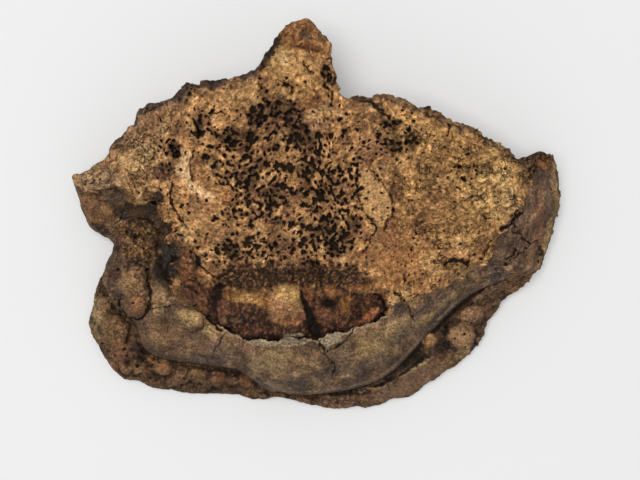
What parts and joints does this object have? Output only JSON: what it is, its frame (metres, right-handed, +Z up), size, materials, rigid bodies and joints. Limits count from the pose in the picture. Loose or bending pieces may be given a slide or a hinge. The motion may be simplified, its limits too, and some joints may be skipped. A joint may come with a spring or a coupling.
{
  "type": "bracket fungus",
  "caption": "Old woody bracket fungus lying flat: a thick shelf of bored, spongy flesh with a broken brown crust round it and a lumpy rim below the shelf's lip.",
  "frame": {"origin": "on the surface that the fungus rests on, under the middle of its bounding box", "axes": "+X to the right across the front, +Y towards the back, where it grew on the wood, +Z up out of the crust's side"},
  "size_m": [0.2243, 0.1764, 0.0617],
  "materials": {
    "dry_flesh": "matt, corky and dry, with a duller brown crust"
  },
  "bodies": {
    "root": {"bracket": "dry_flesh"}
  },
  "joints": []
}
